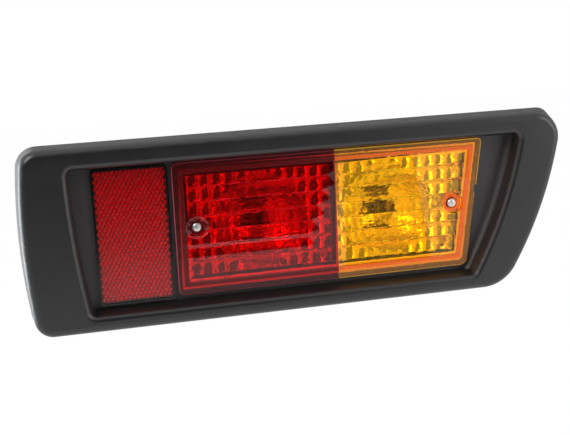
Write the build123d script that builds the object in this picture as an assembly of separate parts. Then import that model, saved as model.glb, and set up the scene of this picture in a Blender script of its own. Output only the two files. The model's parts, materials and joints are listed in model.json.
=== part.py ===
from build123d import *
from collections import namedtuple
from math import cos, pi, radians, sin, tan
import os

# Recessed trailer tail light: a framed, two-colour lamp with a reflex reflector beside it.
# Millimetres. +Z is up as installed, the lamp faces -Y, and the back rim of the bezel and the
# vehicle's panel lie in the plane Y = 0. The origin is the centre of the stud pattern.
# "Forward" is the distance in front of that plane, so it is -Y; behind it forward is negative.

End = namedtuple("End", "x lean bow")  # x at mid height, lean in degrees, bow radius or None
Form = namedtuple("Form", "left right low high corners")  # corners: TL, TR, BR, BL radii

# ---------------------------------------------------------------- bezel
bezel_depth = 25.0
bezel_wall = 2.6
bezel_top = 65.4
bezel_bottom = -66.2
bezel_front_radius = 6.0
bezel_side_draft = 1.0
bezel_end_draft = 4.8
rim_form = Form(
    left=End(-201.0, -0.8, -450.0),
    right=End(188.6, 20.1, 236.0),
    low=bezel_bottom,
    high=bezel_top,
    corners=(15.0, 12.0, 33.0, 14.0),
)
front_corners = (13.0, 22.0, 30.0, 13.0)
lip_low_margin = 11.8
lip_high_margin = 14.8
lip_form = Form(
    left=End(-163.7, -5.1, -650.0),
    right=End(153.7, 19.5, 273.0),
    low=bezel_bottom + lip_low_margin,
    high=bezel_top - lip_high_margin,
    corners=(5.0, 5.0, 5.0, 5.0),
)
lip_radius = 4.2
recess_draft = 10.0
cove_radius = 8.0
cove_overrun = 0.15
recess_depth = 15.0
floor_front = bezel_depth - recess_depth
rib_thickness = 1.8
rib_pitch = 44.0
rib_count = 9

# ---------------------------------------------------------------- lens and its seat
lens_low_margin = 6.4
lens_high_margin = 3.0
lens_form = Form(
    left=End(-93.4, 0.0, None),
    right=End(133.2, 7.8, None),
    low=lip_form.low + lens_low_margin,
    high=lip_form.high - lens_high_margin,
    corners=(4.5, 3.0, 7.0, 4.5),
)
colour_split_x = 25.5
lens_stand = 4.0
lens_front = floor_front + lens_stand
lens_thickness = 2.6
lens_edge_radius = 0.8
notch_low = -2.0
notch_high = 13.0
notch_depth = 1.1
skirt_inset = 5.4
skirt_thickness = 2.6
band_pitch = 10.7
band_low = -34.2
band_count = 7
band_depth = 1.9
band_margin = 3.5
partition_half_width = 4.0
opening_inset = 3.0
collar_clearance = 0.3
collar_width = 7.0
collar_drop = 4.6
collar_front = lens_front - collar_drop
gasket_width = 3.4
gasket_depth = 3.0
gasket_stand = 0.6
part_gap = 0.3

# ---------------------------------------------------------------- lens screws
screw_places = ((-77.4, 0.0), (116.0, 0.0))
screw_shank_radius = 1.75
screw_head_radius = 3.4
screw_head_height = 2.4
screw_length = 16.0
screw_running_gap = 0.08
well_radius = 5.2
well_wall = 1.5
well_depth = 5.5
well_rim_radius = 8.6
well_rounding = 1.3
seal_height = 1.4
boss_radius = 4.6

# ---------------------------------------------------------------- reflex reflector
reflex_low_margin = 5.8
reflex_high_margin = 4.6
reflex_low = lip_form.low + reflex_low_margin
reflex_high = lip_form.high - reflex_high_margin
reflex_gap = 3.8
reflex_width = 50.7
reflex_right = lens_form.left.x - reflex_gap
reflex_left = reflex_right - reflex_width
reflex_stand = 2.2
reflex_front = floor_front + reflex_stand
reflex_thickness = 2.4
reflex_back_thickness = 1.6
reflex_frame_wall = 1.4
reflex_frame_rise = 0.4
reflex_frame_base = 2.0
reflex_frame_lip = 0.9
reflex_corner_radius = 2.5
reflex_stud_radius = 2.5
reflex_stud_spacing = 50.0
reflex_stud_length = 7.0
reflex_nut_radius = 6.0
reflex_nut_thickness = 1.0

# ---------------------------------------------------------------- housing
flange_thickness = 2.5
flange_overlap = 3.4
pan_wall = 2.4
pan_depth = 20.0
pan_draft = 1.5
divider_thickness = 2.0
ear_radius = 5.0
ear_margin = 9.0
ear_height = bezel_top - ear_margin
ear_columns = (-66.0, 22.0, 110.0)
housing_screw_radius = 1.6
housing_screw_length = 11.0
housing_screw_head_radius = 3.2
housing_screw_head_height = 2.0
panel_seal_width = 5.0

# ---------------------------------------------------------------- rear chamber and its cover
chamber_low = -18.0
chamber_high = 18.0
chamber_left = -52.0
chamber_right = 90.0
chamber_depth = 34.0
chamber_wall = 2.2
cover_thickness = 2.2
cover_seal_thickness = 1.2
cover_screw_inset = 4.2
cover_screw_radius = 1.4
cover_screw_length = 10.0
cover_screw_head_radius = 2.7
cover_screw_head_height = 1.8
cover_boss_radius = 3.6
grommet_x = 19.0
grommet_bore_radius = 3.3
grommet_neck_radius = 5.5
grommet_flange_radius = 8.0
grommet_flange_thickness = 1.6
grommet_tail_radius = 5.0
grommet_tail_length = 12.0

# ---------------------------------------------------------------- reflectors
dish_focus = 15.0
dish_mouth = 35.5
dish_sheet = 1.2
dish_steps = 6
reflector_drop = 2.7
reflector_skirt = 7.0
reflector_hole_radius = 13.2
reflector_clearance = 0.4
post_radius = 3.4
post_inset = 18.6
post_left_inset = 17.4
post_right_inset = 23.2
post_from_split = 8.5
post_screw_radius = 1.4
post_screw_length = 9.0
post_screw_head_radius = 2.6
post_screw_head_height = 1.7

# ---------------------------------------------------------------- bulbs and lampholders
bulb_places = {"stop_tail": -30.0, "indicator": 65.5}
cap_radius = 7.6
cap_length = 18.0
cap_front = -27.0
cap_sheet = 0.4
neck_seat = 3.0
neck_rise = 2.0
envelope_radius = 12.5
envelope_tip = 5.0
envelope_wall = 0.7
pin_radius = 1.0
pin_reach = 1.3
pin_from_cap_end = 7.0
pin_offset = 3.0
stem_radius = 2.6
stem_length = 9.0
filament_place = -6.0
filament_spacing = 4.0
filament_radius = 0.55
filament_length = 6.0
support_radius = 0.35
support_spread = 1.2
insulator_thickness = 1.8
button_radius = 1.7
button_height = 0.9
button_spacing = 6.4
sleeve_gap = 0.1
sleeve_wall = 0.7
sleeve_front = -25.4
sleeve_length = 25.0
sleeve_flange_radius = 11.8
sleeve_flange_thickness = 1.0
slot_half_width = 1.35
slot_notch = 0.4
twist_angle = 20.0
cup_radius = 12.2
cup_wall = 2.0
plate_thickness = 2.0
leaf_width = 3.0
leaf_thickness = 0.4
leaf_span = 5.0
tab_length = 3.4
link_width = 6.0
link_thickness = 0.6
link_place = -42.0

# ---------------------------------------------------------------- mounting studs
stud_spacing_x = 320.0
stud_spacing_z = 76.0
stud_radius = 3.0
stud_reach = 22.0
stud_embed = 4.5
stud_collar_radius = 5.0
stud_collar_height = 1.4
stud_boss_radius = 7.5


# ================================================================ helpers
def at(forward):
    """Plane facing forward, the given distance in front of the panel; its local axes are X and Z."""
    return Plane(origin=(0, -forward, 0), x_dir=(1, 0, 0), z_dir=(0, -1, 0))


def prism(sketch, start, end):
    """Extrude a sketch drawn in X and Z from one forward distance to a greater one."""
    return extrude(at(start) * sketch, amount=end - start)


def rod(x, z, radius, start, end):
    return prism(Pos(x, z) * Circle(radius), start, end)


def tube(x, z, outer, inner, start, end):
    return prism(Pos(x, z) * (Circle(outer) - Circle(inner)), start, end)


def end_point(end, z):
    """Point of a leaning, bowed end at the height z; a positive bow radius swells towards +X."""
    bow = 0 if end.bow is None else z * z / (2 * end.bow)
    return (end.x + z * tan(radians(end.lean)) - bow, z)


def end_line(end, first, last):
    """Edge along an end between two heights."""
    if end.bow is None:
        return Line(end_point(end, first), end_point(end, last))
    middle = (first + last) / 2
    return ThreePointArc(end_point(end, first), end_point(end, middle), end_point(end, last))


def face_of(form):
    """Face of a form: level top and bottom edges, the two ends and four rounded corners."""
    corners = [
        end_point(form.left, form.high),
        end_point(form.right, form.high),
        end_point(form.right, form.low),
        end_point(form.left, form.low),
    ]
    face = make_face(
        [
            Line(corners[0], corners[1]),
            end_line(form.right, form.high, form.low),
            Line(corners[2], corners[3]),
            end_line(form.left, form.low, form.high),
        ]
    )
    for corner, radius in zip(corners, form.corners):
        vertex = face.vertices().sort_by_distance(Vector(*corner, 0))[0]
        face = fillet(vertex, radius)
    return face


def moved_end(end, by):
    return end._replace(x=end.x + by / cos(radians(end.lean)))


def grown(form, by, ends_by=None):
    """The form with its edges moved outwards, the two ends by another amount where one is given."""
    ends_by = by if ends_by is None else ends_by
    return Form(
        left=moved_end(form.left, -ends_by),
        right=moved_end(form.right, ends_by),
        low=form.low - by,
        high=form.high + by,
        corners=tuple(max(radius + by, 0.6) for radius in form.corners),
    )


def between(first, first_forward, last, last_forward):
    """Solid with flat drafted sides between two forms."""
    return loft([at(first_forward) * face_of(first), at(last_forward) * face_of(last)], ruled=True)


def front_edges(solid):
    return solid.faces().sort_by(Axis.Y)[0].outer_wire().edges()


def rectangle(left, right, low, high, radius=0):
    """Rectangle sketch between four edges."""
    shape = Pos((left + right) / 2, (low + high) / 2)
    if radius:
        return shape * RectangleRounded(right - left, high - low, radius)
    return shape * Rectangle(right - left, high - low)


def turned(points, x, z):
    """Solid turned about an axis along Y; points are (radius, forward) pairs."""
    outline = Polyline(*[(radius, -forward) for radius, forward in points], close=True)
    return Pos(x, 0, z) * revolve(make_face(outline), axis=Axis.Y)


def save(name, shape):
    shape.label = name
    export_step(shape, f"parts/{name}.step")


# ================================================================ derived places
floor_back = floor_front - bezel_wall
flange_back = floor_back - flange_thickness
lens_back = lens_front - lens_thickness
collar_outer = opening_inset + collar_clearance
collar_inner = collar_outer + collar_width
skirt_middle = skirt_inset + skirt_thickness / 2
gasket_front = collar_front - gasket_stand
skirt_end = gasket_front + part_gap
well_floor = lens_front - well_depth
head_back = well_floor + seal_height
screw_end = head_back - screw_length
boss_front = well_floor - well_wall - part_gap
pan_back = -pan_depth
pan_floor = pan_back + pan_wall
chamber_back = pan_back - chamber_depth
cover_front = chamber_back - cover_seal_thickness
cover_back = cover_front - cover_thickness
reflex_split = reflex_front - reflex_thickness
reflex_back = reflex_split - reflex_back_thickness
frame_back = reflex_back - reflex_frame_base
reflector_front = boss_front - reflector_drop
dish_back = reflector_front - dish_mouth * dish_mouth / (4 * dish_focus)
reflex_frame_front = reflex_front + reflex_frame_rise
cap_back = cap_front - cap_length
envelope_back = cap_front - neck_seat
neck_radius = cap_radius - cap_sheet
pin_place = cap_back + pin_from_cap_end
sleeve_inner = cap_radius + sleeve_gap
sleeve_outer = sleeve_inner + sleeve_wall
sleeve_back = sleeve_front - sleeve_length
cup_floor = sleeve_front - sleeve_flange_thickness
cup_back = cup_floor - cup_wall
plate_front = sleeve_back + plate_thickness
stud_tip = -stud_reach
post_places = (
    (lens_form.left.x + post_left_inset, lens_form.high - post_inset),
    (colour_split_x - post_from_split, lens_form.low + post_inset),
    (colour_split_x + post_from_split, lens_form.high - post_inset),
    (lens_form.right.x - post_right_inset, lens_form.low + post_inset),
)
ear_places = [(x, z) for x in ear_columns for z in (ear_height, -ear_height)]
reflex_stud_places = [
    ((reflex_left + reflex_right) / 2, (reflex_low + reflex_high + side * reflex_stud_spacing) / 2)
    for side in (-1, 1)
]
stud_places = [(x * stud_spacing_x / 2, z * stud_spacing_z / 2) for x in (-1, 1) for z in (-1, 1)]
cover_screw_places = [
    (x, z)
    for x in (chamber_left + cover_screw_inset, chamber_right - cover_screw_inset)
    for z in (chamber_low + cover_screw_inset, chamber_high - cover_screw_inset)
]


# ================================================================ bezel
def bezel_block(inset):
    """Outer form of the bezel, moved inwards by an even inset on every side but the back."""
    depth = bezel_depth - inset
    side_shift = inset + depth * tan(radians(bezel_side_draft))
    end_shift = inset + depth * tan(radians(bezel_end_draft))
    front = grown(rim_form._replace(corners=front_corners), -side_shift, -end_shift)
    block = between(grown(rim_form, -inset), 0, front, depth)
    return fillet(front_edges(block), max(bezel_front_radius - inset, 0.8))


def coved_block(low_form, foot, high_form, top):
    """Tall block with a rounded foot, which turns the recess's floor up into its slanted end."""
    spare = 2 * cove_radius
    forms = [
        form._replace(
            left=moved_end(form.left, -spare),
            right=moved_end(form.right, cove_overrun),
            low=form.low - spare,
            high=form.high + spare,
            corners=(spare,) * 4,
        )
        for form in (low_form, high_form)
    ]
    block = between(forms[0], foot - cove_overrun, forms[1], top)
    back = block.faces().sort_by(Axis.Y)[-1]
    return fillet(back.outer_wire().edges(), cove_radius)


def recess(grow):
    """The drafted recess in front of the bezel's floor, grown evenly to leave a wall around it."""
    foot = floor_front - grow
    top = bezel_depth + 1.0
    slope = tan(radians(recess_draft))
    low_form = grown(lip_form, grow - (bezel_depth - foot) * slope)
    high_form = grown(lip_form, grow + (top - bezel_depth) * slope)
    return between(low_form, foot, high_form, top) & coved_block(low_form, foot, high_form, top)


def back_ribs():
    """Upright ribs across the hollow back of the frame."""
    first = -rib_pitch * (rib_count - 1) / 2
    tall = bezel_top - bezel_bottom
    return [
        prism(
            Pos(first + rib_pitch * number, 0) * Rectangle(rib_thickness, tall), floor_back, bezel_depth
        )
        for number in range(rib_count)
    ]


def make_bezel():
    skin = bezel_block(0) - recess(0)
    lip = skin.faces().sort_by(Axis.Y)[0].inner_wires()[0].edges()
    skin = fillet(lip, lip_radius)
    hollow = bezel_block(bezel_wall) - recess(bezel_wall)
    shell = skin - hollow
    inside = bezel_block(bezel_wall / 2) - recess(bezel_wall / 2)
    bosses = [rod(x, z, stud_boss_radius, stud_collar_height, bezel_depth) for x, z in stud_places]
    bosses += [rod(x, z, ear_radius, floor_back, bezel_depth) for x, z in ear_places]
    for piece in back_ribs() + bosses:
        shell += piece & inside
    shell -= prism(face_of(grown(lens_form, -opening_inset)), 0, floor_front + 1)
    shell -= prism(reflex_area(reflex_frame_wall), 0, floor_front + 1)
    for x, z in stud_places:
        shell -= rod(x, z, stud_radius, -1, stud_collar_height + stud_embed)
    for x, z in ear_places:
        shell -= rod(x, z, housing_screw_radius, floor_back - 1, flange_back + housing_screw_length + 0.5)
    return shell


# ================================================================ lens
def lens_well(x, z):
    """Well that holds a screw head below the front face, inside a shallow dish with a rounded edge."""
    dish_floor = lens_front - well_rounding
    inner = well_rim_radius - well_rounding
    slope = well_rounding * cos(pi / 4)
    middle = (well_rim_radius - slope, -dish_floor - slope)
    outline = [
        Line((0, -dish_floor), (inner, -dish_floor)),
        ThreePointArc((inner, -dish_floor), middle, (well_rim_radius, -lens_front)),
        Line((well_rim_radius, -lens_front), (well_rim_radius, -lens_front - 1)),
        Line((well_rim_radius, -lens_front - 1), (0, -lens_front - 1)),
        Line((0, -lens_front - 1), (0, -dish_floor)),
    ]
    dish = Pos(x, 0, z) * revolve(make_face(outline), axis=Axis.Y)
    return dish + rod(x, z, well_radius, well_floor, lens_front + 1)


def optic_band(inner, number):
    """One long cylindrical ridge across the back of the lens, which spreads the light up and down."""
    half = band_pitch / 2
    z = band_low + (number + 0.5) * band_pitch
    left = end_point(inner.left, z)[0]
    right = end_point(inner.right, z)[0]
    ridge = make_face(
        [
            Line((lens_back, z + half), (lens_back, z - half)),
            ThreePointArc((lens_back, z - half), (lens_back - band_depth, z), (lens_back, z + half)),
        ]
    )
    end = Plane(origin=(right, 0, 0), x_dir=(0, -1, 0), z_dir=(-1, 0, 0))
    return extrude(end * ridge, amount=right - left)


def make_lens():
    """Both colours as one form, before it is split."""
    plate = between(lens_form, lens_back, lens_form, lens_front)
    plate = fillet(front_edges(plate), lens_edge_radius)
    inside = face_of(grown(lens_form, -skirt_inset - skirt_thickness))
    skirt = face_of(grown(lens_form, -skirt_inset)) - inside
    tall = lens_form.high - lens_form.low
    partition = inside & (Pos(colour_split_x, 0) * Rectangle(2 * partition_half_width, tall))
    lens = plate + prism(skirt, skirt_end, lens_back) + prism(partition, collar_front + part_gap, lens_back)
    inner = grown(lens_form, -skirt_inset - skirt_thickness - band_margin)
    for number in range(band_count):
        lens += optic_band(inner, number) & prism(inside, 0, lens_front)
    edge = end_point(lens_form.right, (notch_low + notch_high) / 2)[0]
    notch = rectangle(edge - notch_depth, edge + notch_high - notch_low, notch_low, notch_high)
    lens -= prism(notch, 0, lens_front + 1)
    for x, z in screw_places:
        lens += rod(x, z, well_radius + well_wall, boss_front + part_gap, lens_back)
        lens -= lens_well(x, z)
        lens -= rod(x, z, screw_shank_radius + screw_running_gap, 0, lens_front)
    return lens


def split(solid, side):
    """The part of the lens on one side of the line between its colours."""
    reach = 2 * abs(lens_form.left.x) + abs(lens_form.right.x)
    box = Box(reach, 4 * lens_front, 4 * lens_form.high)
    return solid & (Pos(colour_split_x + side * reach / 2, 0, 0) * box)


def screw(head_radius, head_height, shank_radius, length):
    """Domed cross-head screw: its seat lies at Y = 0, its head faces -Y and its shank runs to +Y."""
    shoulder = head_height * 0.55
    points = [
        (0, -length),
        (shank_radius * 0.4, -length),
        (shank_radius, shank_radius - length),
        (shank_radius, 0),
        (head_radius, 0),
        (head_radius, shoulder),
        (head_radius * 0.75, head_height * 0.86),
        (0, head_height),
    ]
    bar = Rectangle(head_radius * 1.1, head_radius * 0.24)
    cross = prism(bar + Rot(0, 0, 90) * bar, head_height * 0.55, head_height + 1)
    return turned(points, 0, 0) - cross


def seated_back(piece, places, seat):
    """Copies of a screw that point backwards from their seat."""
    return Compound(children=[Pos(x, -seat, z) * piece for x, z in places])


def seated_front(piece, places, seat):
    """Copies of a screw that point forwards from their seat."""
    return Compound(children=[Pos(x, -seat, z) * Rot(0, 0, 180) * piece for x, z in places])


def make_lens_screws():
    piece = screw(screw_head_radius, screw_head_height, screw_shank_radius, screw_length)
    return seated_back(piece, screw_places, head_back)


def make_lens_screw_seals():
    rings = [
        tube(x, z, screw_head_radius + 0.6, screw_shank_radius, well_floor, head_back)
        for x, z in screw_places
    ]
    return Compound(children=rings)


# ================================================================ reflex reflector
def reflex_area(grow):
    return rectangle(
        reflex_left - grow,
        reflex_right + grow,
        reflex_low - grow,
        reflex_high + grow,
        reflex_corner_radius,
    )


def make_reflex_frame():
    rim = prism(reflex_area(reflex_frame_wall), frame_back, reflex_frame_front)
    rim += prism(reflex_area(reflex_frame_wall + reflex_frame_lip), frame_back, floor_back)
    rim -= prism(reflex_area(0), reflex_back, reflex_frame_front + 1)
    for x, z in reflex_stud_places:
        rim -= rod(x, z, reflex_stud_radius, frame_back - 1, reflex_back + 1)
    return rim


def make_reflex_lens():
    return prism(reflex_area(0), reflex_split, reflex_front)


def make_reflex_backing():
    backing = prism(reflex_area(0), reflex_back, reflex_split)
    for x, z in reflex_stud_places:
        backing += rod(x, z, reflex_stud_radius, reflex_back - reflex_stud_length, reflex_back)
    return backing


def make_reflex_nuts():
    nuts = [
        tube(x, z, reflex_nut_radius, reflex_stud_radius, frame_back - reflex_nut_thickness, frame_back)
        for x, z in reflex_stud_places
    ]
    return Compound(children=nuts)


# ================================================================ housing
def pan_form(inset, forward):
    """Outline of the pan at a depth, for an inset from the lens outline at the flange."""
    return grown(lens_form, -inset - (flange_back - forward) * tan(radians(pan_draft)))


def pan_block(inset, front, back):
    return between(pan_form(inset, flange_back), flange_back, pan_form(inset, back), back) + prism(
        face_of(pan_form(inset, flange_back)), flange_back, front
    )


def ear(x, z):
    """Lug that carries a screw outside the flange."""
    middle = z / 2
    arm = Pos(x, middle) * Rectangle(2 * ear_radius, abs(z))
    return prism(arm + Pos(x, z) * Circle(ear_radius), flange_back, floor_back)


def chamber_area(inset):
    return rectangle(
        chamber_left + inset, chamber_right - inset, chamber_low + inset, chamber_high - inset, 4.0 - inset / 2
    )


def gasket_ring():
    outer = grown(lens_form, -skirt_middle + gasket_width / 2)
    return face_of(outer) - face_of(grown(outer, -gasket_width))


def make_housing():
    pan = prism(face_of(grown(lens_form, flange_overlap - opening_inset)), flange_back, floor_back)
    for x, z in ear_places:
        pan += ear(x, z)
    pan += prism(face_of(grown(lens_form, -collar_outer)), floor_back, collar_front)
    pan += pan_block(collar_inner - pan_wall, floor_back, pan_back)
    pan += prism(chamber_area(0), chamber_back, pan_back)
    pan -= pan_block(collar_inner, collar_front + 1, pan_floor)
    pan -= prism(chamber_area(chamber_wall), chamber_back - 1, pan_back)
    pan -= prism(gasket_ring(), collar_front - gasket_depth, collar_front + 1)
    tall = lens_form.high - lens_form.low - 2 * collar_inner
    pan += prism(Pos(colour_split_x, 0) * Rectangle(divider_thickness, tall), pan_floor, collar_front)
    for x in bulb_places.values():
        pan += rod(x, 0, cup_radius + cup_wall, cup_back, pan_floor)
        pan -= rod(x, 0, cup_radius, cup_floor, pan_floor + 1)
        pan -= rod(x, 0, sleeve_outer, cup_back - 1, cup_floor + 1)
    for x, z in screw_places:
        pan += rod(x, z, boss_radius, pan_floor, boss_front)
        pan -= rod(x, z, screw_shank_radius + screw_running_gap, screw_end - 1, boss_front + 1)
        pan -= rod(x, z, well_radius + well_wall + part_gap, boss_front, collar_front + 1)
    for x, z in post_places:
        pan += rod(x, z, post_radius, pan_floor, reflector_front - dish_sheet)
        pan -= rod(x, z, post_screw_radius, reflector_front - post_screw_length, reflector_front)
    inside = prism(chamber_area(chamber_wall / 2), chamber_back, pan_back + 1)
    for x, z in cover_screw_places:
        pan += rod(x, z, cover_boss_radius, chamber_back, pan_back) & inside
        pan -= rod(x, z, cover_screw_radius, cover_back - 1, cover_back + cover_screw_length)
    for x, z in ear_places:
        pan -= rod(x, z, housing_screw_radius, flange_back - 1, floor_back + 1)
    return pan


def make_lens_gasket():
    return prism(gasket_ring(), collar_front - gasket_depth, gasket_front)


def make_panel_seal():
    outer = grown(lens_form, flange_overlap - opening_inset)
    ring = face_of(outer) - face_of(grown(outer, -panel_seal_width))
    return prism(ring, 0, flange_back)


def make_housing_screws():
    piece = screw(
        housing_screw_head_radius, housing_screw_head_height, housing_screw_radius, housing_screw_length
    )
    return seated_front(piece, ear_places, flange_back)


# ================================================================ rear cover
def make_rear_cover():
    cover = prism(chamber_area(0), cover_back, cover_front)
    cover -= rod(grommet_x, 0, grommet_neck_radius, cover_back - 1, cover_front + 1)
    for x, z in cover_screw_places:
        cover -= rod(x, z, cover_screw_radius, cover_back - 1, cover_front + 1)
    return cover


def make_rear_cover_seal():
    ring = chamber_area(0) - chamber_area(chamber_wall)
    seal = prism(ring, cover_front, chamber_back)
    for x, z in cover_screw_places:
        seal += rod(x, z, cover_boss_radius, cover_front, chamber_back) & prism(
            chamber_area(0), cover_front, chamber_back
        )
        seal -= rod(x, z, cover_screw_radius, cover_front - 1, chamber_back + 1)
    return seal


def make_rear_cover_screws():
    piece = screw(cover_screw_head_radius, cover_screw_head_height, cover_screw_radius, cover_screw_length)
    return seated_front(piece, cover_screw_places, cover_back)


def make_cable_grommet():
    inner_front = cover_front + grommet_flange_thickness
    outer_back = cover_back - grommet_flange_thickness
    points = [
        (grommet_bore_radius, inner_front),
        (grommet_flange_radius, inner_front),
        (grommet_flange_radius, cover_front),
        (grommet_neck_radius, cover_front),
        (grommet_neck_radius, cover_back),
        (grommet_flange_radius, cover_back),
        (grommet_flange_radius, outer_back),
        (grommet_tail_radius, outer_back - 1.0),
        (grommet_tail_radius - 0.8, outer_back - grommet_tail_length),
        (grommet_bore_radius, outer_back - grommet_tail_length),
    ]
    return turned(points, grommet_x, 0)


# ================================================================ reflectors
def dish_forward(radius):
    """Depth of the parabolic dish at a radius from the bulb's axis."""
    return dish_back + radius * radius / (4 * dish_focus)


def make_reflector(bulb_x, left, right, form):
    """Bright moulded dish round a bulb, with a flat front that fills its half of the pan."""
    step = (dish_mouth - reflector_hole_radius) / dish_steps
    radii = [reflector_hole_radius + step * number for number in range(dish_steps + 1)]
    inner = [(radius, dish_forward(radius)) for radius in radii]
    outer = [(radius + dish_sheet, forward) for radius, forward in reversed(inner)]
    neck = [(reflector_hole_radius + dish_sheet, pan_floor), (reflector_hole_radius, pan_floor)]
    dish = turned(inner + outer + neck, bulb_x, 0)
    bound = Pos((left + right) / 2, 0) * Rectangle(right - left, form.high - form.low + 2)
    area = face_of(form) & bound
    inner_area = face_of(grown(form, -dish_sheet)) & offset(bound, amount=-dish_sheet)
    front = prism(area - Pos(bulb_x, 0) * Circle(dish_mouth), reflector_front - dish_sheet, reflector_front)
    skirt = prism(area - inner_area, reflector_front - reflector_skirt, reflector_front)
    reflector = (dish & prism(area, pan_floor, reflector_front)) + front + skirt
    reflector -= rod(bulb_x, 0, dish_mouth - 0.01, reflector_front - 0.02, reflector_front + 1)
    for x, z in screw_places:
        reflector -= rod(x, z, boss_radius + reflector_clearance, pan_floor, reflector_front + 1)
    for x, z in post_places:
        reflector -= rod(x, z, post_screw_radius, reflector_front - 3, reflector_front + 1)
    return reflector


def make_reflectors():
    """The two reflectors, one on each side of the divider."""
    form = pan_form(collar_inner + reflector_clearance, reflector_front - reflector_skirt)
    gap = divider_thickness / 2 + reflector_clearance
    lean_shift = lens_form.high * tan(radians(lens_form.right.lean))
    far_left = lens_form.left.x
    far_right = lens_form.right.x + lean_shift
    red = make_reflector(bulb_places["stop_tail"], far_left, colour_split_x - gap, form)
    amber = make_reflector(bulb_places["indicator"], colour_split_x + gap, far_right, form)
    return red, amber


def make_reflector_screws():
    piece = screw(post_screw_head_radius, post_screw_head_height, post_screw_radius, post_screw_length)
    return seated_back(piece, post_places, reflector_front)


# ================================================================ bulbs
def pear(shrink, back):
    """Half outline of the bulb's glass: a straight neck that swells into a ball."""
    ball = envelope_radius - shrink
    neck = neck_radius - shrink
    centre = envelope_tip - envelope_radius
    shoulder = cap_front + neck_rise
    middle = (neck + (ball - neck) * 0.72, (shoulder + centre) / 2)
    outline = [
        Line((0, -back), (neck, -back)),
        Line((neck, -back), (neck, -shoulder)),
        ThreePointArc((neck, -shoulder), (middle[0], -middle[1]), (ball, -centre)),
        ThreePointArc(
            (ball, -centre), (ball * cos(pi / 4), -centre - ball * sin(pi / 4)), (0, -centre - ball)
        ),
        Line((0, -centre - ball), (0, -back)),
    ]
    return make_face(outline)


def make_bulb_glass(x):
    outer = revolve(pear(0, envelope_back), axis=Axis.Y)
    inner = revolve(pear(envelope_wall, envelope_back + envelope_wall), axis=Axis.Y)
    return Pos(x, 0, 0) * (outer - inner)


def pin_turns(double):
    """Direction and forward place of the two bayonet pins; a two-circuit cap has them offset."""
    return ((1, pin_place), (-1, pin_place + (pin_offset if double else 0)))


def make_bulb_cap(x, double):
    cap = tube(x, 0, cap_radius, cap_radius - cap_sheet, cap_back, cap_front)
    for side, forward in pin_turns(double):
        reach = cap_sheet + pin_reach
        middle = side * (cap_radius - cap_sheet + reach / 2)
        pin = Pos(x + middle, -forward, 0) * Rot(0, 90, 0) * Cylinder(pin_radius, reach)
        cap += pin
    return cap


def make_bulb_base(x):
    return rod(x, 0, cap_radius - cap_sheet, cap_back, cap_back + insulator_thickness)


def button_offsets(double):
    return (-button_spacing / 2, button_spacing / 2) if double else (0.0,)


def make_bulb_contacts(x, double):
    buttons = [
        rod(x, z, button_radius, cap_back - button_height, cap_back) for z in button_offsets(double)
    ]
    return Compound(children=buttons)


def make_bulb_filaments(x, double):
    """Glass stem, its support wires and one filament for each circuit."""
    stem_back = envelope_back + envelope_wall
    mount = rod(x, 0, stem_radius, stem_back, stem_back + stem_length)
    count = 2 if double else 1
    for number in range(count):
        z = (number - (count - 1) / 2) * filament_spacing
        coil = Pos(x, -filament_place, z) * Rot(0, 90, 0) * Cylinder(filament_radius, filament_length)
        mount += coil
        for side in (-1, 1):
            wire_x = x + side * (filament_length / 2 - support_radius)
            foot_z = max(-support_spread, min(support_spread, z / 2))
            start = Vector(x + side * stem_radius / 2, -(stem_back + stem_length - 1), foot_z)
            end = Vector(wire_x, -filament_place, z)
            path = Line(start, end)
            mount += sweep(Plane(origin=start, z_dir=end - start) * Circle(support_radius), path=path)
    return mount


# ================================================================ lampholders
def bayonet_slot(side, forward):
    """Cutter for one J-slot: in from the front, a turn to the lock and a shallow notch."""
    middle = side * (sleeve_inner + sleeve_outer) / 2
    depth = sleeve_wall + 2
    long = sleeve_front - forward + 1
    across = 2 * slot_half_width
    entry = Pos(middle, -forward - long / 2, 0) * Box(depth, long, across)
    pocket = Rot(0, 90, 0) * Cylinder(slot_half_width, depth)
    entry += Pos(middle, -forward, 0) * pocket
    turn = Plane.XY * Pos(middle, -forward) * Rectangle(depth, across)
    track = revolve(turn, axis=Axis.Y, revolution_arc=-twist_angle)
    lock = Pos(middle, -forward, 0) * pocket + Pos(middle, -forward - slot_notch, 0) * pocket
    return track + lock + Rot(0, -twist_angle, 0) * entry


def make_sleeve(x, double):
    sleeve = tube(0, 0, sleeve_outer, sleeve_inner, sleeve_back, sleeve_front)
    sleeve += tube(0, 0, sleeve_flange_radius, sleeve_inner, cup_floor, sleeve_front)
    for side, forward in pin_turns(double):
        sleeve -= bayonet_slot(side, forward)
    return Pos(x, 0, 0) * sleeve


def make_contact_plate(x, double):
    plate = rod(x, 0, sleeve_inner, sleeve_back, plate_front)
    for z in button_offsets(double):
        plate -= prism(Pos(x, z) * Rectangle(leaf_thickness, leaf_width * 0.8), sleeve_back - 1, plate_front + 1)
    return plate


def make_contact_leaves(x, double):
    """Arched spring contacts in front of the plate, with their tabs behind it."""
    leaves = []
    top = cap_back - button_height - part_gap
    for z in button_offsets(double):
        half = leaf_span / 2
        arch = make_face(
            [
                ThreePointArc((-half, -plate_front), (0, -top), (half, -plate_front)),
                Line((half, -plate_front), (half - leaf_thickness, -plate_front)),
                ThreePointArc(
                    (half - leaf_thickness, -plate_front),
                    (0, -top + leaf_thickness),
                    (leaf_thickness - half, -plate_front),
                ),
                Line((leaf_thickness - half, -plate_front), (-half, -plate_front)),
            ]
        )
        leaf = Pos(x, 0, z) * extrude(arch, amount=leaf_width * 0.4, both=True)
        tab = Pos(x, z) * Rectangle(leaf_thickness, leaf_width * 0.8)
        leaf += prism(tab, sleeve_back - tab_length, top - leaf_thickness / 2)
        leaves.append(leaf)
    return Compound(children=leaves)


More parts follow.
